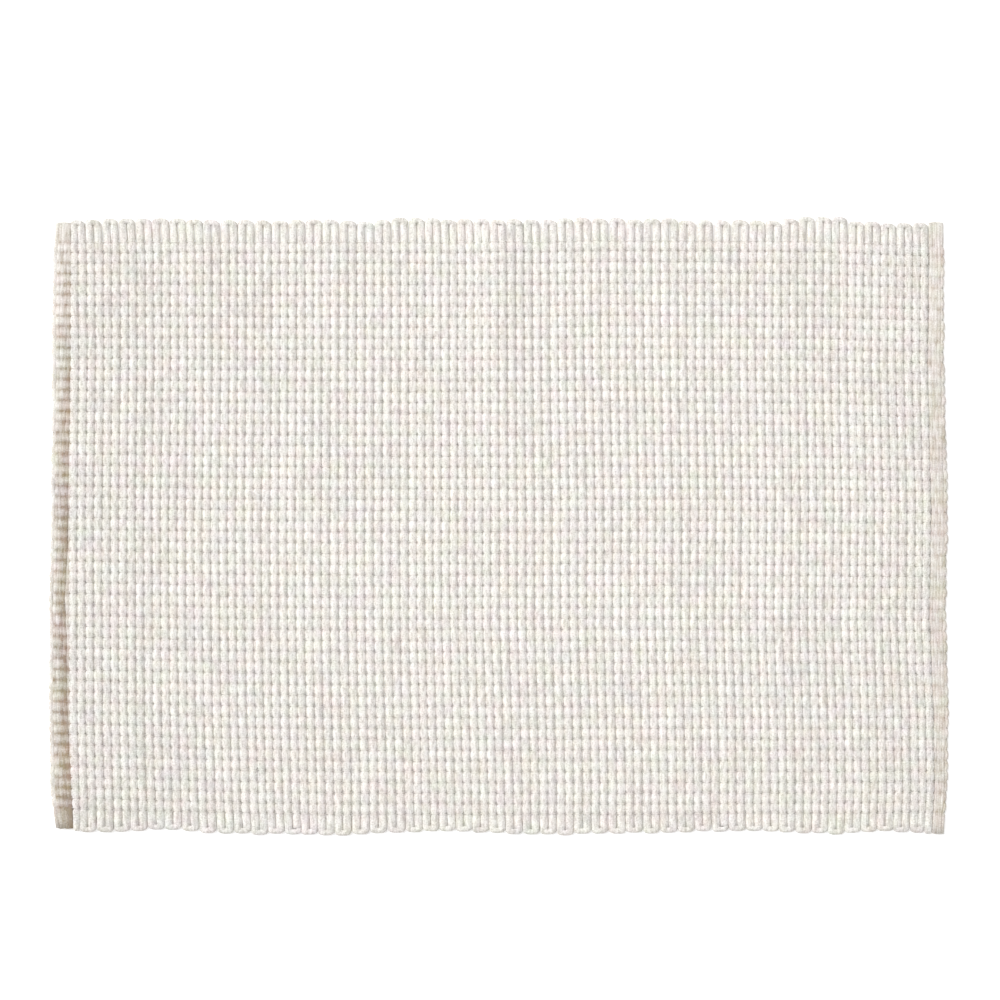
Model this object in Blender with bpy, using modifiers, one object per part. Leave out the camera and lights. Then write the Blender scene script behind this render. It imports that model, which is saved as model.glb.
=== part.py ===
"""Ribbed cotton placemat, lying flat.

One cloth in one piece. Thick off-white cords lie side by side across the mat and
turn back in hairpin loops along both long edges. A narrow beige hem closes each
short end.

Metres, +Z up. X runs along the mat and Y along its cords. The origin is under the
middle of the mat, on the surface that it lies on.
"""

import math
from typing import NamedTuple

import bmesh
import bpy
import numpy as np
from mathutils import Vector

MM = 0.001

# Cloth
HALF_DEPTH = 165.0 * MM  # middle of the mat to a long edge
THICKNESS = 3.4 * MM  # through two opposite crests
VALLEY_THICKNESS = 1.7 * MM  # between two cords
HEM_THICKNESS = 2.6 * MM
LEFT_HEM = 9.6 * MM
RIGHT_HEM = 8.9 * MM
HEM_ROUNDING = 1.3 * MM  # width over which a hem rounds off to its fold

# Cords
CORD_COUNT = 102
CREST_START = 0.3  # the crest's flat share of a cord's width begins here
CREST_END = 0.7
LOOSER_MIDDLE = 0.005  # cords in the middle lie this share of the width further on

# Hairpin loops
LOOP_DEPTH = 2.2 * MM  # from a loop's tip back to the notch beside it
LOOP_ROOT = 4.6 * MM  # from the edge to where its two cords lie apart
LOOP_NOSE = 1.0 * MM  # length over which a loop's tip rounds off
NOSE_THICKNESS = 2.7 * MM
TOP_FIRST_PAIR = 0  # cords that lie outside the first and the last loop
BOTTOM_FIRST_PAIR = 1

SHARP_ANGLE = math.radians(60)
MERGE_DISTANCE = 0.00005


class Section(NamedTuple):
    """Where the two short ends lie at one place across the mat, in millimetres."""

    y: float
    left: float
    right: float


class Wave(NamedTuple):
    """How far the long edges stand out at one place along the mat, in millimetres."""

    x: float
    top: float
    bottom: float


class Column(NamedTuple):
    """One line of the cloth that runs across the mat, from long edge to long edge."""

    share: float  # of the way from the left end to the right one
    offset: float  # added to that place
    lift: float  # height above the cloth's middle plane
    cord: float | None  # place counted in cords from the first one's outer side


class Row(NamedTuple):
    """One line of the cloth that runs along the mat."""

    edge: int  # 1 beside the top edge, -1 beside the bottom edge, 0 between them
    place: float  # distance in from that edge, or else y
    zone: str  # "rim", "nose" or "body"


SECTIONS = (
    Section(y=-165.0, left=-238.9, right=239.3),
    Section(y=-140.0, left=-241.2, right=241.4),
    Section(y=-40.0, left=-241.4, right=241.2),
    Section(y=60.0, left=-240.4, right=240.3),
    Section(y=165.0, left=-238.5, right=238.2),
)

WAVES = (
    Wave(x=-240.0, top=0.1, bottom=-0.4),
    Wave(x=-190.0, top=1.2, bottom=-1.2),
    Wave(x=-140.0, top=0.1, bottom=0.5),
    Wave(x=-83.0, top=-0.4, bottom=1.6),
    Wave(x=-52.0, top=1.2, bottom=-0.8),
    Wave(x=-20.0, top=0.8, bottom=0.3),
    Wave(x=18.0, top=0.0, bottom=1.4),
    Wave(x=66.0, top=1.0, bottom=0.4),
    Wave(x=108.0, top=-0.7, bottom=-1.1),
    Wave(x=145.0, top=0.0, bottom=-0.3),
    Wave(x=167.0, top=1.9, bottom=0.2),
    Wave(x=200.0, top=-0.7, bottom=0.4),
    Wave(x=221.0, top=-1.7, bottom=0.0),
    Wave(x=240.0, top=-0.2, bottom=0.3),
)


def clear_scene():
    for item in list(bpy.data.objects):
        bpy.data.objects.remove(item, do_unlink=True)


def cotton(name, colour):
    material = bpy.data.materials.new(name)
    material.use_nodes = True
    shader = material.node_tree.nodes["Principled BSDF"]
    shader.inputs["Base Color"].default_value = (*colour, 1.0)
    shader.inputs["Roughness"].default_value = 0.9
    shader.inputs["Metallic"].default_value = 0.0
    shader.inputs["Sheen Weight"].default_value = 0.2
    return material


def end_x(y, end):
    """Where one short end lies at y. end is the Section column to read."""
    sections = [(section.y * MM, getattr(section, end) * MM) for section in SECTIONS]
    return float(np.interp(y, *zip(*sections)))


def edge_y(x, edge):
    """Where a long edge's loops reach at x. edge is 1 at the top and -1 at the bottom."""
    side = "top" if edge > 0 else "bottom"
    waves = [(wave.x * MM, getattr(wave, side) * MM) for wave in WAVES]
    return edge * (HALF_DEPTH + float(np.interp(x, *zip(*waves))))


def cord_column(cord, lift):
    """The column at a place counted in cords."""
    share = cord / CORD_COUNT
    share += LOOSER_MIDDLE * math.sin(math.pi * share)
    offset = LEFT_HEM * (1.0 - share) - RIGHT_HEM * share
    return Column(share, offset, lift, cord)


def hem_columns():
    """The outer two columns of the left hem and of the right one."""
    half = HEM_THICKNESS / 2
    left = [Column(0.0, 0.0, 0.0, None), Column(0.0, HEM_ROUNDING, half, None)]
    right = [Column(1.0, -HEM_ROUNDING, half, None), Column(1.0, 0.0, 0.0, None)]
    return left, right


def cloth_columns():
    """All columns from left to right: the valley before each cord and its crest."""
    left, right = hem_columns()
    valley, crest = VALLEY_THICKNESS / 2, THICKNESS / 2
    cords = []
    for cord in range(CORD_COUNT):
        cords.append(cord_column(cord, valley))
        cords.append(cord_column(cord + CREST_START, crest))
        cords.append(cord_column(cord + CREST_END, crest))
    cords.append(cord_column(CORD_COUNT, valley))
    return left + cords + right


def cloth_rows():
    """All rows from the bottom edge to the top one."""
    near_edge = (("rim", 0.0), ("nose", LOOP_NOSE), ("body", LOOP_ROOT))
    bottom = [Row(-1, inset, zone) for zone, inset in near_edge]
    body = [Row(0, section.y * MM, "body") for section in SECTIONS[1:-1]]
    top = [Row(1, inset, zone) for zone, inset in reversed(near_edge)]
    return bottom + body + top


def across_loop(cord, edge):
    """Place across a hairpin: 0 at its middle, -1 and 1 at its sides, 0 off the loops."""
    outside = TOP_FIRST_PAIR if edge > 0 else BOTTOM_FIRST_PAIR
    if cord is None or not outside <= cord <= CORD_COUNT - outside:
        return 0.0
    return (cord - outside) % 2.0 - 1.0


def lift_at(column, row):
    """Height above the middle plane. A loop's nose closes the valley inside it."""
    if row.zone == "rim" or column.lift == 0.0:
        return 0.0
    if row.zone == "body" or column.cord is None:
        return column.lift
    notch = abs(across_loop(column.cord, row.edge)) == 1.0
    return column.lift if notch else NOSE_THICKNESS / 2


def place(column, row):
    """The point where a column crosses a row."""
    y = row.place if row.edge == 0 else row.edge * (HALF_DEPTH - row.place)
    x = (1.0 - column.share) * end_x(y, "left") + column.share * end_x(y, "right")
    x += column.offset
    if row.edge:
        rounded = 1.0 - math.sqrt(1.0 - across_loop(column.cord, row.edge) ** 2)
        notch = 0.0 if row.zone == "body" else LOOP_DEPTH * rounded
        y = edge_y(x, row.edge) - row.edge * (row.place + notch)
    return Vector((x, y, lift_at(column, row)))


def upper_half(columns, rows):
    """The upper half of the cloth, open at its middle plane."""
    bm = bmesh.new()
    across, along = len(columns) - 1, len(rows) - 1
    grid = bmesh.ops.create_grid(bm, x_segments=across, y_segments=along, size=0.5)
    for vert in grid["verts"]:
        column = round((vert.co.x + 0.5) * across)
        row = round((vert.co.y + 0.5) * along)
        vert.co = place(columns[column], rows[row])
    return bm


def split_corners(bm):
    """Splits each corner's face from the corner inwards, so that neither half is flat."""
    corners = [vert for vert in bm.verts if len(vert.link_faces) == 1]
    for corner in corners:
        loop = corner.link_loops[0]
        inner = loop.link_loop_next.link_loop_next.vert
        bmesh.utils.face_split(loop.face, corner, inner)


def centre(bm):
    """Brings the middle of the outline over the origin."""
    points = np.array([vert.co for vert in bm.verts])
    middle = (points.min(axis=0) + points.max(axis=0)) / 2
    bmesh.ops.translate(bm, verts=bm.verts, vec=(-middle[0], -middle[1], 0.0))


def colour_hems(bm):
    """Gives the faces of both hems the second material."""
    for face in bm.faces:
        x, y, _ = face.calc_center_median()
        in_left_hem = x < end_x(y, "left") + LEFT_HEM
        in_right_hem = x > end_x(y, "right") - RIGHT_HEM
        face.material_index = int(in_left_hem or in_right_hem)


def mirror_down(mat):
    """Adds the lower half, which is the same: the cloth has two equal faces."""
    mirror = mat.modifiers.new("Lower face", "MIRROR")
    mirror.use_axis = (False, False, True)
    mirror.use_clip = False
    mirror.merge_threshold = MERGE_DISTANCE


def build_placemat(collection):
    bm = upper_half(cloth_columns(), cloth_rows())
    split_corners(bm)
    centre(bm)
    colour_hems(bm)
    mesh = bpy.data.meshes.new("placemat")
    bm.to_mesh(mesh)
    bm.free()
    mesh.materials.append(cotton("Off-white cotton", (0.83, 0.80, 0.75)))
    mesh.materials.append(cotton("Beige cotton", (0.62, 0.53, 0.43)))
    mesh.shade_smooth()
    mesh.set_sharp_from_angle(angle=SHARP_ANGLE)
    mat = bpy.data.objects.new("placemat", mesh)
    mat.location.z = THICKNESS / 2
    mirror_down(mat)
    collection.objects.link(mat)


def main():
    clear_scene()
    collection = bpy.data.collections.new("Placemat")
    bpy.context.scene.collection.children.link(collection)
    build_placemat(collection)


main()
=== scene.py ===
"""The placemat's looks: its cords, warp threads and hem yarns, each woven as a mesh.

One thick weft cord runs to and fro across the mat and turns back in a hairpin loop at
every long edge. Pairs of thin warp threads pinch it into beads. Finer beige weft makes
the two hems, which are folded under.

The cords run along Y. Lengths are millimetres, and piece() turns them into metres.
"""

import math
from typing import NamedTuple

import bpy
import numpy as np
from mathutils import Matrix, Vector


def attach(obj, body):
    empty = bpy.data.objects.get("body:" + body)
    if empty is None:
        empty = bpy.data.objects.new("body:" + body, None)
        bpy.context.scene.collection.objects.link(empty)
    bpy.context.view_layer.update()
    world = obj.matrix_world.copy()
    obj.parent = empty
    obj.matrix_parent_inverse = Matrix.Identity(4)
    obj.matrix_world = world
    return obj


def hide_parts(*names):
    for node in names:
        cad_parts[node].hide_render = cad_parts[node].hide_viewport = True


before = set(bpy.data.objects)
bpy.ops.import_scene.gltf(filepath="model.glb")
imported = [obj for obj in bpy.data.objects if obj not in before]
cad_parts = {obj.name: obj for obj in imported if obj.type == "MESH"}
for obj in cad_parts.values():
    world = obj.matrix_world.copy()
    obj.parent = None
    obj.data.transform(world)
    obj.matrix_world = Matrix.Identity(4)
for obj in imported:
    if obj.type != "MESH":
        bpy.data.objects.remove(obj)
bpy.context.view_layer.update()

MM = 0.001
SEED = 11

# Cloth
CORDS = 102
LINES = 54  # warp lines, each a pair of threads
HALF_DEPTH = 165.0
MID_HEIGHT = 1.7  # middle plane of the cords above the table
HEM_MID_HEIGHT = 1.3
FIRST_SPACING = 5.2  # between the two warp lines next to the top edge
GAP_SHADE = 0.4  # a gap between cords looks this much further left than it is
END_SHADE = 0.15  # how much darker the cords are beside the hems
LEFT_SHADE_REACH = 95.0
RIGHT_SHADE_REACH = 150.0
LOW_SHADE = 0.1  # and near the bottom edge
LOW_SHADE_REACH = 140.0
BARE_LIGHT = 0.1  # how much lighter their bare ends are at the top edge
BARE_LIGHT_REACH = 3.0

# Weft cord
BEAD_HALF_WIDTH = 2.9
BEAD_HALF_HEIGHT = 1.7
PINCH_HALF_WIDTH = 1.5
PINCH_HALF_HEIGHT = 1.62
BEAD_STATIONS = (0.0, 0.14, 0.36, 0.64, 0.86)  # its rings, from one warp line to the next
BEAD_FULLNESS = 0.65  # 1 swells like a sine wave, less is a fuller bead
CORD_SIDES = 8

# Legs, which are the cords' bare ends beyond the warp
LEG_HALF_WIDTH = 2.2  # at the top edge
LOW_LEG_HALF_WIDTH = 2.4  # at the bottom edge
LEG_ROOT_HALF_HEIGHT = 1.25  # beside the warp
LEG_RISE = 0.1  # how much more it is at the leg's end
LEG_END_HALF_HEIGHT = LEG_ROOT_HALF_HEIGHT + LEG_RISE
LEG_STATIONS = (0.15, 0.4, 0.65, 0.85, 1.0)  # a top leg's rings, from its root to its end
LOW_LEG_STATIONS = (0.0, 0.3, 0.6, 0.85)  # a bottom leg's rings, from its end to its root
LEG_SWELL = 0.05  # share by which a leg's width varies along it
LEG_WAVE = 7.0  # radians of that variation over a top leg's length
LOW_LEG_WAVE = 9.0  # and over a bottom leg's
CROWN_SHADOW = 0.35  # painted shadow: how much darker a top loop's legs are in the crease below its crown, where the crown shades them

# Warp thread
WARP_RADIUS = 0.2
WARP_REACH = 1.5  # from the cords' middle plane up or down to the thread's middle
WARP_SHIFT = 0.22  # from a warp line to the middle of either of its two threads
WARP_STATIONS = (0.3, 0.7)  # its rings on a cord, as shares of the cord's width
WARP_TONE = 0.15
WARP_SIDES = 4


class Section(NamedTuple):
    """Where the cloth's long lines lie at one place across the mat."""

    y: float
    left: float  # fold of the left hem
    first: float  # left side of the first cord
    last: float  # right side of the last cord
    right: float  # fold of the right hem


class Spot(NamedTuple):
    """How far up one line or edge lies at one place along the mat."""

    x: float
    y: float


class Drift(NamedTuple):
    """How far right of even spacing a cord lies, near each long edge and midway."""

    cord: float
    bottom: float
    middle: float
    top: float


class Lean(NamedTuple):
    """How far right a cord's bare ends lean at the bottom edge and at the top edge."""

    cord: float
    low: float
    high: float


class Lift(NamedTuple):
    """How far up from even spacing a warp line lies, left and right of LIFT_CHANGE."""

    line: float
    left: float
    right: float


class Seam(NamedTuple):
    """How far right of the cords' sides the hems' inner sides lie."""

    y: float
    left: float
    right: float


class Loop(NamedTuple):
    """The shape of one long edge's hairpin loops."""

    sign: int  # 1 where they point up, -1 where they point down
    reach: float  # from the legs' ends, where the bend's inner side lies, to the tip
    past: float  # how far the dim outer side lies beyond the tip
    lean: float  # how much further the left half reaches, and the right one less
    square: float  # 1 is a round outer side, less is a squarer one
    drop: float  # how much lower the crown lies than the cords
    side_shade: float  # painted shade: how much darker its right side is, seen along the cord
    reach_spread: float  # how far the reach strays from loop to loop
    tip_spread: float  # how far the tips stray from the edge's line


TOP_LOOP = Loop(
    sign=1,
    reach=3.1,
    past=0.3,
    lean=0.5,
    square=0.75,
    drop=0.0,
    side_shade=0.5,
    reach_spread=0.15,
    tip_spread=0.3,
)
BOTTOM_LOOP = Loop(
    sign=-1,
    reach=3.6,
    past=-0.15,
    lean=0.15,
    square=0.6,
    drop=0.1,
    side_shade=0.3,
    reach_spread=0.12,
    tip_spread=0.25,
)
LEAN_SPREAD = 0.2  # how far the lean strays from loop to loop
BEND_ANGLES = (12, 30, 50, 68, 81, 90, 99, 112, 130, 150, 168)
BEND_INNER = 0.06  # the bend's inner side lies this share of the way to its outer side
BEND_HALF_HEIGHT = 1.3
LOOSE_ENDS = {0: 0.9, CORDS - 1: -0.5}  # how far short of the loops either end stops
ROUNDED_TIP = 0.8  # a loose end's tip reaches this share of its half width further
TIP_RINGS = ((0.45, 0.88), (ROUNDED_TIP, 0.55))  # each one's reach and its share of the size


class Pucker(NamedTuple):
    """A low ridge of the cloth that runs in from the top edge."""

    x: float
    half_width: float
    height: float
    depth: float  # length over which it fades


class Tint(NamedTuple):
    """How dark a hem's yarn is at one place across the mat, from 0 to 1."""

    y: float
    fold: float
    inner: float


class Spread(NamedTuple):
    """How far something strays: smoothly, over some steps, and roughly, at each step."""

    smooth: float
    stride: int  # steps over which the smooth part changes
    rough: float


SECTIONS = (
    Section(y=-165.0, left=-238.0, first=-230.0, last=232.0, right=239.5),
    Section(y=-142.0, left=-241.5, first=-231.0, last=233.5, right=241.0),
    Section(y=-100.0, left=-242.0, first=-232.0, last=233.0, right=242.0),
    Section(y=-50.0, left=-242.0, first=-232.0, last=231.0, right=240.5),
    Section(y=10.0, left=-241.0, first=-232.0, last=232.0, right=241.5),
    Section(y=90.0, left=-240.5, first=-231.0, last=230.0, right=239.5),
    Section(y=145.0, left=-240.0, first=-231.5, last=230.5, right=239.5),
    Section(y=165.0, left=-238.5, first=-231.5, last=230.5, right=239.0),
)

DRIFT_LEVELS = (-140.0, 0.0, 140.0)  # y of Drift's bottom, middle and top

DRIFTS = (
    Drift(cord=0, bottom=0.0, middle=0.0, top=0.0),
    Drift(cord=10, bottom=0.0, middle=-0.5, top=0.0),
    Drift(cord=20, bottom=0.5, middle=-1.0, top=0.0),
    Drift(cord=30, bottom=0.5, middle=-0.5, top=0.0),
    Drift(cord=40, bottom=2.5, middle=1.0, top=1.5),
    Drift(cord=50, bottom=1.5, middle=0.0, top=0.0),
    Drift(cord=60, bottom=2.5, middle=1.5, top=0.0),
    Drift(cord=70, bottom=3.0, middle=2.5, top=1.0),
    Drift(cord=80, bottom=3.5, middle=3.0, top=3.0),
    Drift(cord=90, bottom=3.0, middle=2.5, top=2.5),
    Drift(cord=100, bottom=1.5, middle=1.0, top=1.0),
    Drift(cord=102, bottom=0.0, middle=0.0, top=0.0),
)

LEAN_REACH = 17.0  # length of the cords' bare ends

LEANS = (
    Lean(cord=0, low=0.0, high=0.0),
    Lean(cord=2, low=-0.8, high=-1.2),
    Lean(cord=12, low=0.0, high=-1.2),
    Lean(cord=20, low=0.7, high=-0.2),
    Lean(cord=27, low=0.6, high=0.0),
    Lean(cord=33, low=-0.3, high=0.0),
    Lean(cord=45, low=0.8, high=-0.6),
    Lean(cord=60, low=0.3, high=-0.4),
    Lean(cord=70, low=1.1, high=0.0),
    Lean(cord=80, low=1.5, high=0.3),
    Lean(cord=92, low=0.1, high=0.0),
    Lean(cord=101, low=0.5, high=0.0),
    Lean(cord=102, low=0.0, high=0.0),
)

SEAMS = (
    Seam(y=-165.0, left=0.4, right=0.6),
    Seam(y=-150.0, left=0.4, right=0.7),
    Seam(y=-110.0, left=-0.7, right=0.9),
    Seam(y=-65.0, left=-1.3, right=0.7),
    Seam(y=-40.0, left=-2.4, right=0.5),
    Seam(y=-12.0, left=-1.0, right=0.5),
    Seam(y=15.0, left=-0.7, right=0.4),
    Seam(y=95.0, left=-0.2, right=0.7),
    Seam(y=135.0, left=0.4, right=1.0),
    Seam(y=165.0, left=0.4, right=0.8),
)

FIRST_LINE = (
    Spot(x=-240.0, y=153.0),
    Spot(x=20.0, y=153.0),
    Spot(x=50.0, y=154.0),
    Spot(x=170.0, y=153.5),
    Spot(x=210.0, y=152.0),
    Spot(x=240.0, y=151.0),
)

LAST_LINE = (
    Spot(x=-240.0, y=-151.0),
    Spot(x=-155.0, y=-153.5),
    Spot(x=-90.0, y=-154.5),
    Spot(x=90.0, y=-154.5),
    Spot(x=145.0, y=-154.0),
    Spot(x=240.0, y=-153.5),
)

LIFT_CHANGE = (100.0, 150.0)  # x where Lift's left ends and its right begins

LIFTS = (
    Lift(line=0, left=0.0, right=0.0),
    Lift(line=15, left=0.8, right=0.0),
    Lift(line=32, left=0.8, right=0.0),
    Lift(line=42, left=-0.3, right=-1.0),
    Lift(line=51, left=-0.5, right=-0.8),
    Lift(line=53, left=0.0, right=0.0),
)

TOP_TIPS = (
    Spot(x=-240.0, y=165.0),
    Spot(x=-195.0, y=166.0),
    Spot(x=-150.0, y=165.0),
    Spot(x=-90.0, y=165.0),
    Spot(x=-75.0, y=164.5),
    Spot(x=-50.0, y=166.0),
    Spot(x=-30.0, y=165.5),
    Spot(x=25.0, y=165.0),
    Spot(x=40.0, y=166.0),
    Spot(x=90.0, y=166.0),
    Spot(x=110.0, y=165.0),
    Spot(x=155.0, y=165.0),
    Spot(x=162.0, y=167.5),
    Spot(x=180.0, y=167.0),
    Spot(x=192.0, y=164.5),
    Spot(x=225.0, y=163.0),
    Spot(x=240.0, y=164.5),
)

BOTTOM_TIPS = (
    Spot(x=-240.0, y=-164.5),
    Spot(x=-210.0, y=-164.5),
    Spot(x=-185.0, y=-163.5),
    Spot(x=-170.0, y=-163.5),
    Spot(x=-155.0, y=-165.0),
    Spot(x=-100.0, y=-165.5),
    Spot(x=-85.0, y=-166.5),
    Spot(x=-40.0, y=-164.0),
    Spot(x=-5.0, y=-164.5),
    Spot(x=10.0, y=-166.0),
    Spot(x=40.0, y=-166.0),
    Spot(x=60.0, y=-165.0),
    Spot(x=85.0, y=-165.0),
    Spot(x=110.0, y=-164.0),
    Spot(x=165.0, y=-164.5),
    Spot(x=180.0, y=-166.0),
    Spot(x=205.0, y=-164.0),
    Spot(x=240.0, y=-164.5),
)

LEFT_TINTS = (
    Tint(y=-165.0, fold=0.4, inner=0.85),
    Tint(y=-135.0, fold=0.15, inner=0.75),
    Tint(y=-90.0, fold=0.12, inner=0.68),
    Tint(y=-40.0, fold=0.12, inner=0.57),
    Tint(y=20.0, fold=0.12, inner=0.6),
    Tint(y=95.0, fold=0.1, inner=0.45),
    Tint(y=145.0, fold=0.1, inner=0.3),
    Tint(y=165.0, fold=0.0, inner=0.15),
)

RIGHT_TINTS = (
    Tint(y=-165.0, fold=0.37, inner=0.34),
    Tint(y=-100.0, fold=0.37, inner=0.28),
    Tint(y=95.0, fold=0.33, inner=0.24),
    Tint(y=165.0, fold=0.25, inner=0.2),
)

PUCKERS = (
    Pucker(x=-161.0, half_width=13.0, height=1.8, depth=140.0),
    Pucker(x=-88.0, half_width=11.0, height=1.8, depth=130.0),
    Pucker(x=-1.0, half_width=12.0, height=3.9, depth=140.0),
)

CROSSING_SPREAD = Spread(smooth=0.12, stride=5, rough=0.06)  # of a warp line, over the cords
SWAY_SPREAD = Spread(smooth=0.12, stride=6, rough=0.06)  # of a cord; the rough part is its own
BEAD_SPREAD = Spread(smooth=0.013, stride=8, rough=0.012)  # share of a bead's size
PINCH_SPREAD = 0.03  # share of a pinch's width

# A tone of 0 is a cotton's light colour and 1 its dark one.
CORD_TONE = 0.35
CORD_TONE_SPREAD = 0.03
BEAD_TONE_SPREAD = Spread(smooth=0.02, stride=4, rough=0.02)
WARP_TONE_SPREAD = 0.03

rng = np.random.default_rng(SEED)


def read(table, place, column):
    """The table's column at a place, which its first column gives."""
    return np.interp(place, [row[0] for row in table], [getattr(row, column) for row in table])


def wander(rows, length, spread):
    """Rows of smooth random offsets."""
    coarse = rng.normal(0.0, spread.smooth, (rows, length // spread.stride + 3))
    at = np.arange(length) / spread.stride
    knots = np.arange(coarse.shape[1])
    return np.array([np.interp(at, knots, row) for row in coarse])


def cord_x(cord, y):
    """Where a place counted in cords from the first cord's left side lies at y."""
    first, last = read(SECTIONS, y, "first"), read(SECTIONS, y, "last")
    drifts = [read(DRIFTS, cord, column) for column in Drift._fields[1:]]
    even = first + (last - first) * cord / CORDS
    end = read(LEANS, cord, "high" if y > 0.0 else "low")
    lean = end * np.clip(1.0 - (HALF_DEPTH - abs(y)) / LEAN_REACH, 0.0, 1.0)
    return even + np.interp(y, DRIFT_LEVELS, drifts) + lean + GAP_SHADE


def line_y(line, x):
    """Where a warp line lies at x. Line 0 is next to the top edge."""
    top, bottom = read(FIRST_LINE, x, "y"), read(LAST_LINE, x, "y")
    even = (top - FIRST_SPACING - bottom) / (LINES - 2)
    below = np.where(line > 0, FIRST_SPACING + even * (line - 1), 0.0)
    left, right = read(LIFTS, line, "left"), read(LIFTS, line, "right")
    return top - below + left + (right - left) * np.interp(x, LIFT_CHANGE, (0.0, 1.0))


def mid_height(x, y):
    """The middle plane of the cords above the table, with the cloth's puckers."""
    height = MID_HEIGHT
    for pucker in PUCKERS:
        away = (x - pucker.x) / pucker.half_width
        left = np.clip(1.0 - (HALF_DEPTH - y) / pucker.depth, 0.0, 1.0)
        fade = left**2 * (3.0 - 2.0 * left)  # a smooth step
        height = height + pucker.height * np.exp(-(away**2)) * fade
    return height


def shade(x, y):
    """How much darker the cords are near the hems and the bottom edge, less the bare ends."""
    reach = RIGHT_SHADE_REACH if x > 0.0 else LEFT_SHADE_REACH
    to_hem = np.clip((abs(x) - read(SECTIONS, y, "right")) / reach + 1.0, 0.0, 1.0)
    to_bottom = np.clip(1.0 - (y + HALF_DEPTH) / LOW_SHADE_REACH, 0.0, 1.0)
    bare = np.clip((y - read(FIRST_LINE, x, "y")) / BARE_LIGHT_REACH, 0.0, 1.0)
    return END_SHADE * to_hem + LOW_SHADE * to_bottom - BARE_LIGHT * bare


# Meshes


class Ring(NamedTuple):
    """One ring of a tube, with its half width, half height and the cotton's tone."""

    x: float
    y: float
    z: float
    wide: float
    high: float
    tone: float
    side_shade: float = 0.0  # painted shade, added to the tone on the right side, seen along the tube
    side_x: float = 0.0  # towards its right side, or 0, 0 for a ring across the tube
    side_y: float = 0.0


class Rings(NamedTuple):
    """A tube's rings as columns. tilt is the cloth's slope along X, which they follow."""

    centre: np.ndarray
    wide: np.ndarray
    high: np.ndarray
    tone: np.ndarray
    side_shade: np.ndarray
    tilt: np.ndarray
    side: np.ndarray


def columns(rows):
    """The columns of a list of rings."""
    table = np.array(rows)
    x, y = table[:, 0], table[:, 1]
    tilt = mid_height(x + 0.5, y) - mid_height(x - 0.5, y)  # over one millimetre
    return Rings(table[:, :3], *table[:, 3:7].T, tilt, table[:, 7:])


def tube(path, sides):
    """A tube whose rings stand upright on the cloth."""
    along = np.gradient(path.centre, axis=0)
    length = np.hypot(along[:, 0], along[:, 1])
    side = np.stack((along[:, 1] / length, -along[:, 0] / length, 0 * length), axis=1)
    given = path.side.any(axis=1)
    side[given, :2] = path.side[given]
    tilt = (path.tilt * side[:, 0])[:, None]
    upright = np.array((0.0, 0.0, 1.0))
    return skin(path, side + tilt * upright, upright - tilt * side, sides)


def thread(path, sides):
    """A tube along X that turns over where it folds back under itself."""
    along = np.gradient(path.centre, axis=0)
    along /= np.linalg.norm(along, axis=1, keepdims=True)
    sideways = np.tile((0.0, -1.0, 0.0), (len(along), 1))
    return skin(path, sideways, np.cross(sideways, along), sides)


def skin(path, sideways, upwards, sides):
    """Points, faces and tones of a closed tube through the rings."""
    turn = np.arange(sides) * 2 * math.pi / sides
    across = path.wide[:, None, None] * np.cos(turn)[None, :, None] * sideways[:, None, :]
    raised = path.high[:, None, None] * np.sin(turn)[None, :, None] * upwards[:, None, :]
    points = (path.centre[:, None, :] + across + raised).reshape(-1, 3)
    count = len(path.centre)
    ring = np.arange(count - 1)[:, None] * sides
    here = np.arange(sides)[None, :]
    after = (here + 1) % sides
    quads = np.stack((ring + here, ring + sides + here, ring + sides + after, ring + after), axis=2)
    faces = quads.reshape(-1, 4).tolist()
    faces.append(list(range(sides)))
    faces.append(list(range(count * sides - 1, (count - 1) * sides - 1, -1)))
    # painted shade on each ring's right side, strongest at its outermost point
    side_shade = path.side_shade[:, None] * np.clip(np.cos(turn), 0.0, 1.0)[None, :]
    return points, faces, (path.tone[:, None] + side_shade).ravel()


def piece(name, tubes, material):
    """One object from tubes, in metres, that rides on the cloth's body."""
    points, faces, tones, start = [], [], [], 0
    for tube_points, tube_faces, tube_tones in tubes:
        points.append(tube_points)
        faces.extend([corner + start for corner in face] for face in tube_faces)
        tones.append(tube_tones)
        start += len(tube_points)
    mesh = bpy.data.meshes.new(name)
    mesh.from_pydata((np.concatenate(points) * MM).tolist(), [], faces)
    attribute = mesh.attributes.new("tone", "FLOAT", "POINT")
    attribute.data.foreach_set("value", np.concatenate(tones).astype(np.float32))
    mesh.shade_smooth()
    mesh.materials.append(material)
    thing = bpy.data.objects.new(name, mesh)
    bpy.context.scene.collection.objects.link(thing)
    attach(thing, "root")
    return thing


# Weave

# Each table has a row for each cord and, but for cord_tone, a column for each warp line.
line_numbers = np.arange(LINES)
weave = (CORDS, LINES)
crossing_y = np.array([line_y(line_numbers, cord_x(cord + 0.5, 0.0)) for cord in range(CORDS)])
stray = wander(LINES, CORDS, CROSSING_SPREAD).T
crossing_y += stray + rng.normal(0.0, CROSSING_SPREAD.rough, weave)
bead_size = 1.0 + wander(*weave, BEAD_SPREAD) + rng.normal(0.0, BEAD_SPREAD.rough, weave)
pinch_size = 1.0 + rng.normal(0.0, PINCH_SPREAD, weave)
cord_tone = CORD_TONE + rng.normal(0.0, CORD_TONE_SPREAD, CORDS)
bead_tone = wander(*weave, BEAD_TONE_SPREAD) + rng.normal(0.0, BEAD_TONE_SPREAD.rough, weave)
sway = wander(*weave, SWAY_SPREAD) + rng.normal(0.0, SWAY_SPREAD.rough, (CORDS, 1))


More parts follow.
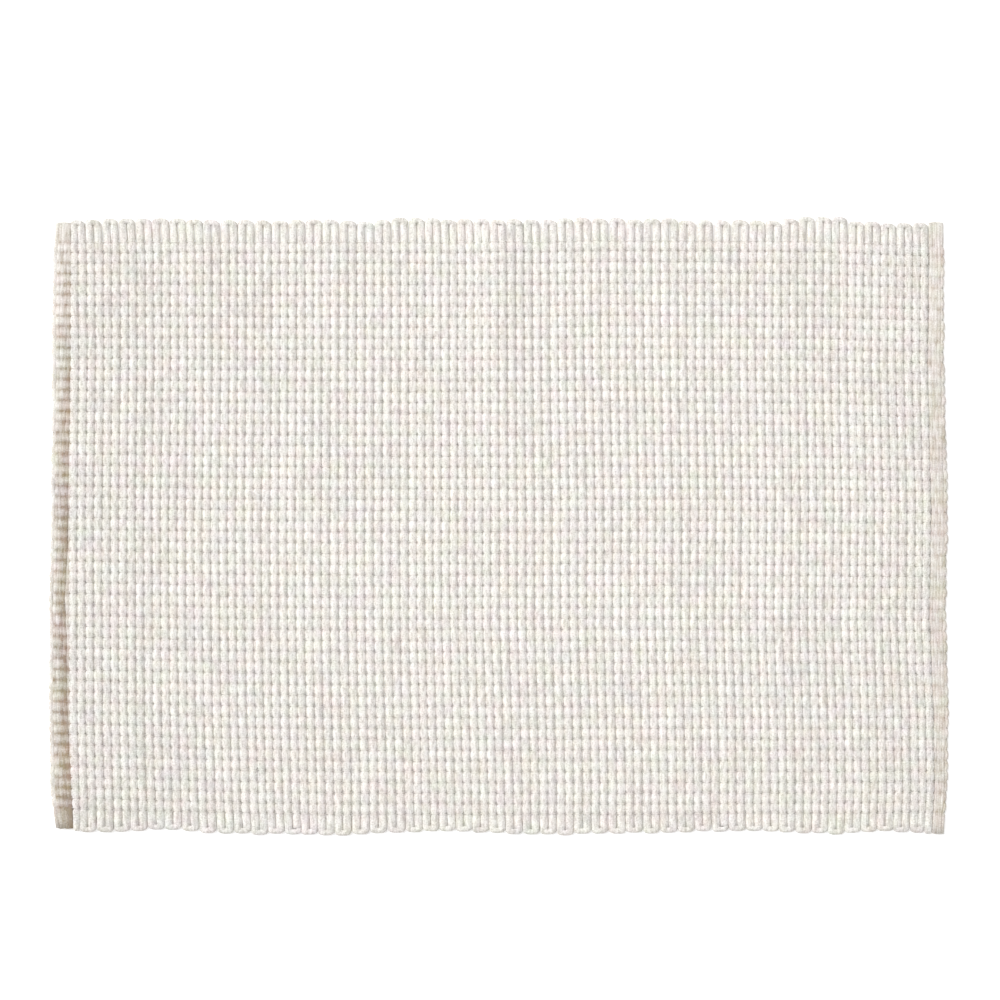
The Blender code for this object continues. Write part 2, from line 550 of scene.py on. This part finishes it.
def cord_rings(cord, leg_top, leg_bottom):
    """Rings of one cord from its bottom leg's end up to its top leg's end."""
    rows = []
    lines = crossing_y[cord]

    # darker and the extra tone on the right side stand for painted shadow below a top loop's crown
    def add(y, wide, high, line, darker=0.0, side_shade=0.0):
        x = cord_x(cord + 0.5, y) + np.interp(line, line_numbers, sway[cord])
        if cord == 0:
            covered = max(read(SEAMS, y, "left"), 0.0)  # by the left hem
            x += covered / 2
            wide -= covered / 2
        tone = cord_tone[cord] + np.interp(line, line_numbers, bead_tone[cord])
        tone += shade(x, y) + darker
        rows.append(Ring(x, y, mid_height(x, y), wide, high, tone, side_shade))

    last = LINES - 1
    for share in LOW_LEG_STATIONS:
        y = leg_bottom + (lines[last] - leg_bottom) * share
        wide = LOW_LEG_HALF_WIDTH * (1.0 + LEG_SWELL * math.sin(LOW_LEG_WAVE * share + cord))
        add(y, wide, LEG_END_HALF_HEIGHT - LEG_RISE * share, last)
    for line in range(last, 0, -1):
        low, high = lines[line], lines[line - 1]
        size = bead_size[cord, line]
        for station in BEAD_STATIONS:
            full = math.sin(math.pi * station) ** BEAD_FULLNESS
            nearer = pinch_size[cord, line if station < 0.5 else line - 1]
            wide = PINCH_HALF_WIDTH * nearer
            wide += (BEAD_HALF_WIDTH * size - wide) * full
            tallest = min(BEAD_HALF_HEIGHT * size**0.5, MID_HEIGHT)
            tall = PINCH_HALF_HEIGHT + (tallest - PINCH_HALF_HEIGHT) * full
            add(low + (high - low) * station, wide, tall, line - station)
    add(lines[0], PINCH_HALF_WIDTH * pinch_size[cord, 0], PINCH_HALF_HEIGHT, 0)
    for share in LEG_STATIONS:
        y = lines[0] + (leg_top - lines[0]) * share
        wide = LEG_HALF_WIDTH * (1.0 + LEG_SWELL * math.sin(LEG_WAVE * share + 2.0 * cord))
        high = LEG_ROOT_HALF_HEIGHT + LEG_RISE * share
        crown_shadow = CROWN_SHADOW if share == 1.0 else 0.0
        right = cord % 2  # painted shadow of the crown: the left leg is darker on its inner side only, the right leg all round
        add(y, wide, high, 0, darker=crown_shadow * right, side_shade=crown_shadow * (1 - right))
    return rows


def loop_rings(start, end, loop, reach, lean):
    """Rings of a hairpin between two legs' last rings, without those two.

    They fan out from the point where the legs' inner sides meet.
    """
    rows = []
    middle = Ring(*(np.array(start) + np.array(end)) / 2)
    half = (end.x - start.x) / 2 + middle.wide
    for angle in BEND_ANGLES:
        turn = math.radians(angle)
        across, out = math.cos(turn), math.sin(turn) ** loop.square
        x = -half * math.copysign(abs(across) ** loop.square, across)
        y = loop.sign * (reach + lean * across) * out
        y += (end.y - start.y) * (angle / 180 - 0.5)
        spoke = np.array((x, y))
        length = np.linalg.norm(spoke)
        centre = np.array(middle[:2]) + spoke * (1.0 + BEND_INNER) / 2
        wide = length * (1.0 - BEND_INNER) / 2
        z = middle.z - loop.drop * out
        high = min(BEND_HALF_HEIGHT, z)
        side = -loop.sign * spoke / length
        # the bend's painted shade on its right side grows towards the tip
        rows.append(Ring(*centre, z, wide, high, middle.tone, loop.side_shade * out, *side))
    return rows


def leg_ends(top_strays, bottom_strays):
    """Where each cord's legs end at the top edge and at the bottom edge."""
    tops, bottoms = np.zeros(CORDS), np.zeros(CORDS)
    for cord in range(CORDS):
        left = cord - cord % 2  # the left cord of its top loop
        x = cord_x(left + 1.0, HALF_DEPTH)
        tops[cord] = read(TOP_TIPS, x, "y") + top_strays[left] - TOP_LOOP.reach
        left = cord + cord % 2 - 1  # and of its bottom loop
        x = cord_x(left + 1.0, -HALF_DEPTH)
        bottoms[cord] = read(BOTTOM_TIPS, x, "y") - bottom_strays[left] + BOTTOM_LOOP.reach
    for cord, short in LOOSE_ENDS.items():
        bottoms[cord] += short + ROUNDED_TIP * LOW_LEG_HALF_WIDTH - BOTTOM_LOOP.reach
    return tops, bottoms


def weft_path():
    """The whole weft cord's rings, and where each cord starts among them."""
    loops = (TOP_LOOP, BOTTOM_LOOP)
    reaches = [loop.reach + loop.past + rng.normal(0.0, loop.reach_spread, CORDS) for loop in loops]
    leans = [rng.normal(loop.lean, LEAN_SPREAD, CORDS) for loop in loops]
    tops, bottoms = leg_ends(*[rng.normal(0.0, loop.tip_spread, CORDS) for loop in loops])
    path, starts = [], []
    for cord in range(CORDS):
        rows = cord_rings(cord, tops[cord], bottoms[cord])
        if cord % 2:
            rows.reverse()
        if cord:
            edge = 0 if cord % 2 else 1
            reach, lean = reaches[edge][cord - 1], leans[edge][cord - 1]
            path.extend(loop_rings(path[-1], rows[0], loops[edge], reach, lean))
        starts.append(len(path))
        path.extend(rows)
    starts.append(len(path))
    return path, starts


def tip_rings(end, inner):
    """Rings of a rounded tip, from a cord's last ring outwards."""
    outward = np.array(end[:3]) - np.array(inner[:3])
    outward /= np.linalg.norm(outward)
    rows = []
    for reach, size in TIP_RINGS:
        at = np.array(end[:3]) + outward * end.wide * reach
        rows.append(Ring(*at, end.wide * size, end.high * size, end.tone))
    return rows


def rounded(rows, first, last):
    """The rings with a rounded tip before the first and after the last of them."""
    before = tip_rings(rows[0], rows[1])[::-1] if first else []
    after = tip_rings(rows[-1], rows[-2]) if last else []
    return before + rows + after


def weft_panels(count, material):
    """The weft cord in panels of neighbouring cords."""
    path, starts = weft_path()
    limits = [round(CORDS * panel / count) for panel in range(count + 1)]
    panels = []
    for number, (low, high) in enumerate(zip(limits, limits[1:]), start=1):
        rows = path[starts[low] : starts[high] + (high < CORDS)]
        rows = rounded(rows, low == 0, high == CORDS)
        cord = tube(columns(rows), CORD_SIDES)
        panel = piece(f"cords_{number}", [cord], material)
        panels.append((panel, (high - low) / CORDS))
    return panels


# Hems

# A share is a place in a hem, 0 at its fold and 1 beside the cords.
HEM_YARNS = 4  # on each face of a hem, beside the one at the fold
HEM_FOLD_SHARE = 0.14
HEM_FIRST_SHARE = 0.33
HEM_SPACING = 0.19
HEM_WIDTH = 9.0  # where the yarns have the sizes given for them
FOLD_WAVE = 0.8  # how far the yarn at the fold swells outwards between the warp lines
BORDER_SHARE = 1.1  # middle of the lighter strand between the left hem and the cords
BORDER_LEVEL = 0.6
HEM_ENDS = {"left": (-162.4, 163.9), "right": (-165.2, 163.9)}  # y of both its ends
HEM_LEVEL = 0.5  # middle of either face's yarns above or below the hem's middle
HEM_STATIONS = (0.0, 0.2, 0.5, 0.8)  # a yarn's rings, from one warp line to the next
HEM_LOW_STATIONS = (0.0, 0.5, 0.85)  # and from its bottom end to the last warp line
HEM_HIGH_STATIONS = (0.15, 0.5, 1.0)  # and from the first warp line to its top end
HEM_FULLNESS = 0.6  # 1 swells like a sine wave, less is a fuller yarn
HEM_END_FULL = 0.7  # how full the yarns are beyond the warp

HEM_LINE_SPREAD = 0.12
HEM_END_SPREAD = 0.2
HEM_SWAY_SPREAD = 0.2
HEM_SWELL_SPREAD = 0.12
HEM_YARN_TONE_SPREAD = 0.02  # from yarn to yarn
HEM_LINE_TONE_SPREAD = 0.08  # and from line to line of one

HEM_WARP_SHARE = 0.04  # where the warp threads turn at the fold
HEM_WARP_REACH = 0.3  # from a yarn's middle up or down to a warp thread's
HEM_WARP_DARKER = 0.2  # than the hem around it


class Yarn(NamedTuple):
    """Half width and half height of a hem's yarn where it is pinched and between."""

    pinch_wide: float
    pinch_high: float
    wide: float
    high: float
    groove: float  # how much darker it is where it is pinched
    darker: float = 0.0  # than the hem around it
    spread: float = 0.0  # how much it widens per millimetre of gap beside the cords


LEFT_YARN = Yarn(pinch_wide=1.15, pinch_high=0.4, wide=1.35, high=0.7, groove=0.5)
LEFT_FOLD = Yarn(pinch_wide=1.1, pinch_high=0.85, wide=1.35, high=1.1, groove=0.2)
RIGHT_YARN = Yarn(pinch_wide=1.2, pinch_high=0.45, wide=1.4, high=0.65, groove=0.2)
RIGHT_FOLD = LEFT_FOLD._replace(groove=0.15, darker=0.12)
BORDER = Yarn(
    pinch_wide=0.8,
    pinch_high=0.5,
    wide=0.9,
    high=0.7,
    groove=0.3,
    darker=-0.28,
    spread=0.4,
)


def hem_x(end, share, y):
    """The x of a place in the left or the right hem."""
    fold = read(SECTIONS, y, end)
    inner = cord_x(0 if end == "left" else CORDS, y) + read(SEAMS, y, end)
    return fold + (inner - fold) * share


def hem_tone(end, share, y):
    """How dark a hem's yarn is at a place in it."""
    tints = LEFT_TINTS if end == "left" else RIGHT_TINTS
    fold, inner = read(tints, y, "fold"), read(tints, y, "inner")
    return fold + (inner - fold) * share


def hem_yarn(end, share, level, yarn):
    """Rings of one hem yarn. level is 1 on the top face, -1 below and 0 at the fold."""
    outward = -1 if end == "left" else 1
    middle_x = hem_x(end, share, 0.0)
    lines = line_y(line_numbers, middle_x) + rng.normal(0.0, HEM_LINE_SPREAD, LINES)
    bottom, top = np.array(HEM_ENDS[end]) + rng.normal(0.0, HEM_END_SPREAD, 2)
    own_tone = rng.normal(0.0, HEM_YARN_TONE_SPREAD)
    tones = own_tone + rng.normal(0.0, HEM_LINE_TONE_SPREAD, LINES)
    sways = rng.normal(0.0, HEM_SWAY_SPREAD, LINES)
    rows = []

    def add(y, full, line):
        x = hem_x(end, share, y) + np.interp(line, line_numbers, sways)
        scale = abs(hem_x(end, 1.0, y) - hem_x(end, 0.0, y)) / HEM_WIDTH
        spread = yarn.spread * max(-read(SEAMS, y, end), 0.0)
        wide = scale * (yarn.pinch_wide + (yarn.wide - yarn.pinch_wide) * full) + spread
        high = yarn.pinch_high + (yarn.high - yarn.pinch_high) * full + spread / 2
        x -= outward * spread
        if level == 0:
            x += outward * FOLD_WAVE * (full - 0.5)
        tone = hem_tone(end, share, y) + np.interp(line, line_numbers, tones)
        tone += yarn.groove * (1.0 - min(full, 1.0) ** 2) + yarn.darker
        z = HEM_MID_HEIGHT + level * HEM_LEVEL
        rows.append(Ring(x, y, z, wide, min(high, z), tone))

    for station in HEM_LOW_STATIONS:
        add(bottom + (lines[-1] - bottom) * station, HEM_END_FULL, LINES - 1)
    for line in range(LINES - 1, 0, -1):
        swell = 1.0 + rng.normal(0.0, HEM_SWELL_SPREAD)
        for station in HEM_STATIONS:
            full = math.sin(math.pi * station) ** HEM_FULLNESS * swell
            add(lines[line] + (lines[line - 1] - lines[line]) * station, full, line - station)
    add(lines[0], 0.0, 0)
    for station in HEM_HIGH_STATIONS:
        add(lines[0] + (top - lines[0]) * station, HEM_END_FULL, 0)
    return rows


def hem(end, yarn, fold_yarn, material, border=None):
    """One hem: the yarn at its fold, the yarns of both faces and the strand inside."""
    yarns = [hem_yarn(end, HEM_FOLD_SHARE, 0, fold_yarn)]
    if border:
        yarns.append(hem_yarn(end, BORDER_SHARE, BORDER_LEVEL, border))
    for level in (1, -1):
        for number in range(HEM_YARNS):
            share = HEM_FIRST_SHARE + HEM_SPACING * number
            yarns.append(hem_yarn(end, share, level, yarn))
    tubes = [tube(columns(rows), CORD_SIDES) for rows in yarns]
    return piece(f"hem_{end}", tubes, material)


# Warp


def warp_ring(x, y, z, tone):
    return Ring(x, y, z, WARP_RADIUS, WARP_RADIUS, tone)


def hem_crossings(end, line, phase, shift):
    """A warp thread's rings in a hem, from its end under the cloth on round the fold."""
    shares = [HEM_FIRST_SHARE + HEM_SPACING * number for number in range(HEM_YARNS)]
    steps = [(share, -1) for share in reversed(shares)]
    steps += [(HEM_WARP_SHARE, 0)] + [(share, 1) for share in shares]
    rows = []
    for number, (share, level) in enumerate(steps):
        y = float(line_y(line, hem_x(end, share, 0.0))) + shift
        reach = HEM_WARP_REACH if (number + phase) % 2 else -HEM_WARP_REACH
        z = HEM_MID_HEIGHT + level * (HEM_LEVEL + reach)
        tone = hem_tone(end, share, y) + HEM_WARP_DARKER
        rows.append(warp_ring(hem_x(end, share, y), y, z, tone))
    return rows


def warp_rings(line, phase):
    """Rings of one warp thread, over every second cord and under the others."""
    shift = WARP_SHIFT if phase else -WARP_SHIFT
    tone = WARP_TONE + rng.normal(0.0, WARP_TONE_SPREAD)
    rows = hem_crossings("left", line, phase, shift)
    for cord in range(CORDS + 1):
        beside = crossing_y[max(cord - 1, 0) : cord + 1, line]
        y = beside.mean() + shift
        x = cord_x(float(cord), y)
        rows.append(warp_ring(x, y, mid_height(x, y), tone))
        if cord == CORDS:
            break
        reach = WARP_REACH if (cord + phase) % 2 else -WARP_REACH
        y = crossing_y[cord, line] + shift
        for station in WARP_STATIONS:
            x = cord_x(cord + station, y) + sway[cord, line]
            rows.append(warp_ring(x, y, mid_height(x, y) + reach, tone))
    return rows + hem_crossings("right", line, phase, shift)[::-1]


def warp(name, phase, material):
    """One of the two threads of every warp line."""
    threads = [thread(columns(warp_rings(line, phase)), WARP_SIDES) for line in range(LINES)]
    return piece(name, threads, material)


# Materials

WHITE = (0.918, 0.886, 0.844)
BROWN = (0.344, 0.27, 0.191)
SHADED = (0.60, 0.568, 0.52)

# Scales of the noises, and how strong they are
STREAK_SCALE = 850.0
STREAK_SQUEEZE = 0.22  # of that scale along Y, which draws the streaks out
NAP_SCALE = 1300.0
PATCH_SCALE = 14.0
PATCH_GRAIN = 0.1  # how far the patches change the tone
HUE_SCALE = 110.0
HUE_SPREAD = 0.05  # how far the cotton strays from one hue
NAP_RELIEF = 0.6  # height of the nap against the streaks'
RELIEF_DEPTH = 0.35
ROUGHNESS = 0.9
ROUGHNESS_SPREAD = 0.06


def cotton(name, light, dark, grain, bump):
    """Spun cotton: two tones, fine streaks of fibre along Y and a soft nap.

    grain says how far the streaks and the nap change the tone.
    """
    material = bpy.data.materials.new(name)
    material.use_nodes = True
    nodes, links = material.node_tree.nodes, material.node_tree.links
    shader = nodes["Principled BSDF"]
    shader.inputs["Sheen Weight"].default_value = 0.25
    shader.inputs["Sheen Roughness"].default_value = 0.5
    shader.inputs["Specular IOR Level"].default_value = 0.2

    def noise(scale, detail, vector):
        node = nodes.new("ShaderNodeTexNoise")
        node.inputs["Scale"].default_value = scale
        node.inputs["Detail"].default_value = detail
        links.new(vector, node.inputs["Vector"])
        return node.outputs

    place = nodes.new("ShaderNodeTexCoord").outputs["Object"]
    stretch = nodes.new("ShaderNodeMapping")
    stretch.inputs["Scale"].default_value = (1.0, STREAK_SQUEEZE, 1.0)
    links.new(place, stretch.inputs["Vector"])
    streaks = noise(STREAK_SCALE, detail=3.0, vector=stretch.outputs["Vector"])["Fac"]
    nap = noise(NAP_SCALE, detail=2.0, vector=place)["Fac"]
    patches = noise(PATCH_SCALE, detail=2.0, vector=place)["Fac"]

    tone = nodes.new("ShaderNodeAttribute")
    tone.attribute_name = "tone"

    def add_up(first, second, factor):
        """first + second * factor"""
        node = nodes.new("ShaderNodeMath")
        node.operation = "MULTIPLY_ADD"
        links.new(second, node.inputs[0])
        node.inputs[1].default_value = factor
        if isinstance(first, float):
            node.inputs[2].default_value = first
        else:
            links.new(first, node.inputs[2])
        return node.outputs[0]

    streak_grain, nap_grain = grain
    middle = 0.5 * (streak_grain + nap_grain + PATCH_GRAIN)  # the noises' mean is 0.5
    value = add_up(-middle, streaks, streak_grain)
    value = add_up(value, nap, nap_grain)
    value = add_up(value, patches, PATCH_GRAIN)
    value = add_up(value, tone.outputs["Fac"], 1.0)

    mix = nodes.new("ShaderNodeMix")
    mix.data_type = "RGBA"
    mix.inputs["A"].default_value = (*light, 1.0)
    mix.inputs["B"].default_value = (*dark, 1.0)
    links.new(value, mix.inputs["Factor"])

    hues = noise(HUE_SCALE, detail=2.0, vector=place)["Color"]
    tinge = nodes.new("ShaderNodeMix")
    tinge.data_type = "RGBA"
    tinge.blend_type = "LINEAR_LIGHT"
    tinge.inputs["Factor"].default_value = HUE_SPREAD
    links.new(mix.outputs["Result"], tinge.inputs["A"])
    links.new(hues, tinge.inputs["B"])
    links.new(tinge.outputs["Result"], shader.inputs["Base Color"])

    rough = nodes.new("ShaderNodeMapRange")
    rough.inputs["To Min"].default_value = ROUGHNESS - ROUGHNESS_SPREAD
    rough.inputs["To Max"].default_value = ROUGHNESS + ROUGHNESS_SPREAD
    links.new(nap, rough.inputs["Value"])
    links.new(rough.outputs["Result"], shader.inputs["Roughness"])

    relief = nodes.new("ShaderNodeBump")
    relief.inputs["Strength"].default_value = bump
    relief.inputs["Distance"].default_value = RELIEF_DEPTH * MM
    links.new(add_up(streaks, nap, NAP_RELIEF), relief.inputs["Height"])
    links.new(relief.outputs["Normal"], shader.inputs["Normal"])
    return material


# Scene

PANELS = 4  # of the weft cord
FLOOR_SIZE = 4.0  # metres
FLOOR_DROP = 0.02  # so that the mat and the floor share no plane
FLOOR_GLOW = 0.3
SKY_STRENGTH = 0.68
KEY_STRENGTH = 1.97
KEY_BREADTH = 35.0  # degrees
KEY_FROM = (-0.62, 0.42, 0.8)
VIEW_WIDTH = 538.0  # what the picture's width takes in at VIEW_LEVEL
VIEW_LEVEL = 3.0
VIEW_MIDDLE = (0.5, 14.5)


def add_cloth():
    """All pieces of the mat, lying on the floor; the imported placemat is hidden."""
    cord_cotton = cotton("Cord cotton", WHITE, SHADED, grain=(2.2, 2.3), bump=1.0)
    warp_cotton = cotton("Warp cotton", WHITE, BROWN, grain=(0.2, 0.2), bump=0.4)
    hem_cotton = cotton("Hem cotton", WHITE, BROWN, grain=(0.7, 0.8), bump=0.8)

    panels = weft_panels(PANELS, cord_cotton)
    left_hem = hem("left", LEFT_YARN, LEFT_FOLD, hem_cotton, BORDER)
    right_hem = hem("right", RIGHT_YARN, RIGHT_FOLD, hem_cotton)
    warps = [warp("warp_1", 0, warp_cotton), warp("warp_2", 1, warp_cotton)]

    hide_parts("placemat")


def add_floor():
    """A white floor just under the mat."""
    bpy.ops.mesh.primitive_plane_add(size=FLOOR_SIZE, location=(0.0, 0.0, -FLOOR_DROP * MM))
    floor = bpy.context.object
    floor.name = "floor"
    material = bpy.data.materials.new("White floor")
    material.use_nodes = True
    shader = material.node_tree.nodes["Principled BSDF"]
    shader.inputs["Base Color"].default_value = (0.92, 0.92, 0.92, 1.0)
    shader.inputs["Roughness"].default_value = 0.9
    shader.inputs["Specular IOR Level"].default_value = 0.1
    shader.inputs["Emission Color"].default_value = (1.0, 1.0, 1.0, 1.0)
    shader.inputs["Emission Strength"].default_value = FLOOR_GLOW
    floor.data.materials.append(material)


def add_lights():
    """Even light from all round, and a broad light from the upper left."""
    scene = bpy.context.scene
    world = bpy.data.worlds.new("Studio")
    scene.world = world
    world.use_nodes = True
    sky = world.node_tree.nodes["Background"]
    sky.inputs["Color"].default_value = (1.0, 1.0, 1.0, 1.0)
    sky.inputs["Strength"].default_value = SKY_STRENGTH
    lamp = bpy.data.lights.new("Key", "SUN")
    lamp.energy = KEY_STRENGTH
    lamp.angle = math.radians(KEY_BREADTH)
    key = bpy.data.objects.new("Key", lamp)
    scene.collection.objects.link(key)
    key.rotation_euler = Vector(KEY_FROM).to_track_quat("Z", "Y").to_euler()


def add_camera():
    """The camera, straight above the mat."""
    scene = bpy.context.scene
    lens = bpy.data.cameras.new("Camera")
    lens.lens = 100.0
    lens.sensor_width = 36.0
    camera = bpy.data.objects.new("Camera", lens)
    height = VIEW_WIDTH * lens.lens / lens.sensor_width
    x, y = VIEW_MIDDLE
    camera.location = (x * MM, y * MM, (height + VIEW_LEVEL) * MM)
    scene.collection.objects.link(camera)
    scene.camera = camera
    scene.view_settings.view_transform = "Standard"


add_cloth()
add_floor()
add_lights()
add_camera()
